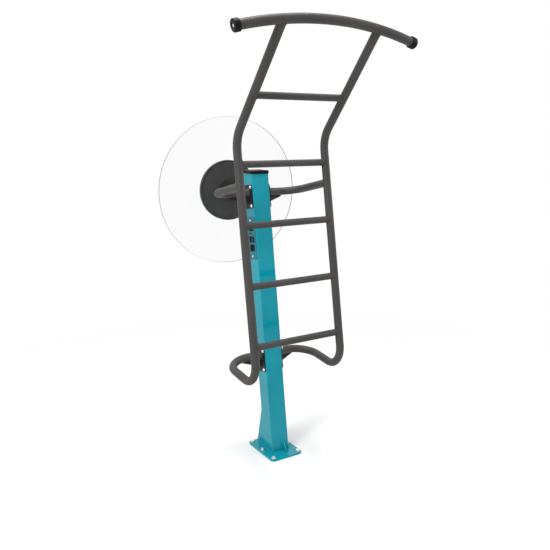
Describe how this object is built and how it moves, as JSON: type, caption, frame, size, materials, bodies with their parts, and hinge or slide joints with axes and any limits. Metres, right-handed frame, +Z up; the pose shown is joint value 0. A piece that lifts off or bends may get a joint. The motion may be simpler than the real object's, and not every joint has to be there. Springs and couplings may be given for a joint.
{
  "type": "outdoor fitness combo station",
  "caption": "Bolted leaning post that carries a bent tube climbing ladder with an arched pull-up bar in front and a clear wheel with a dark hub plate behind, for outdoor exercise.",
  "frame": {"origin": "middle of the base plate's underside, on the ground", "axes": "+Z up, +X along the rungs to the right as seen from the ladder's side, -Y towards the person who climbs the ladder"},
  "size_m": [0.9668, 1.137, 2.2394],
  "materials": {
    "teal_paint": "satin powder coat",
    "grey_paint": "fine-textured powder coat",
    "dark_paint": "matt powder coat",
    "black_plastic": "moulded, matt",
    "bolt_steel": "stainless",
    "bearing_steel": "ground",
    "seal_rubber": "moulded",
    "sign_metal": "anodised, bare",
    "clear_plastic": "clear, polished",
    "hub_plastic": "fine grain, matt"
  },
  "bodies": {
    "frame": {"base_plate": "teal_paint", "anchor_washers": "bolt_steel", "anchor_nuts": "bolt_steel", "post_tube": "teal_paint", "rear_gusset_left": "teal_paint", "rear_gusset_right": "teal_paint", "front_gusset": "teal_paint", "post_cap": "black_plastic", "top_bar": "grey_paint", "bar_cap_left": "black_plastic", "bar_cap_right": "black_plastic", "bar_cap_screws": "bolt_steel", "side_tube_left": "grey_paint", "side_tube_right": "grey_paint", "lower_gusset_left": "dark_paint", "lower_gusset_right": "dark_paint", "upper_arm_left": "grey_paint", "upper_arm_right": "grey_paint", "upper_gusset_left": "dark_paint", "upper_gusset_right": "dark_paint", "rung_1": "grey_paint", "rung_2": "grey_paint", "rung_3": "grey_paint", "rung_4": "grey_paint", "rung_5": "grey_paint", "upper_bracket_left": "dark_paint", "upper_bracket_right": "dark_paint", "lower_bracket_left": "dark_paint", "lower_bracket_right": "dark_paint", "wheel_plate": "dark_paint", "plate_bolts": "bolt_steel", "plate_washers": "bolt_steel", "weld_nuts": "bolt_steel", "instruction_plate": "sign_metal", "instruction_screws": "bolt_steel", "wheel_arm_tube": "grey_paint", "wheel_arm_gusset": "dark_paint", "bearing_housing": "grey_paint", "bearing_outer_rings": "bearing_steel", "retaining_ring": "bearing_steel", "shaft_seal": "seal_rubber"},
    "wheel": {"bearing_inner_rings": "bearing_steel", "bearing_balls": "bearing_steel", "bearing_spacer": "bearing_steel", "axle": "bolt_steel", "axle_washer": "bolt_steel", "axle_nut": "bolt_steel", "clear_disc": "clear_plastic", "hub_plate": "hub_plastic", "hub_bolts": "bolt_steel", "hub_cap": "black_plastic", "hub_cap_screw": "bolt_steel"}
  },
  "joints": [
    {"name": "wheel_spin", "type": "hinge", "parent": "frame", "child": "wheel", "pos_m": [0, 0.5, 1.391], "axis": [0, 1, 0], "continuous": true}
  ]
}
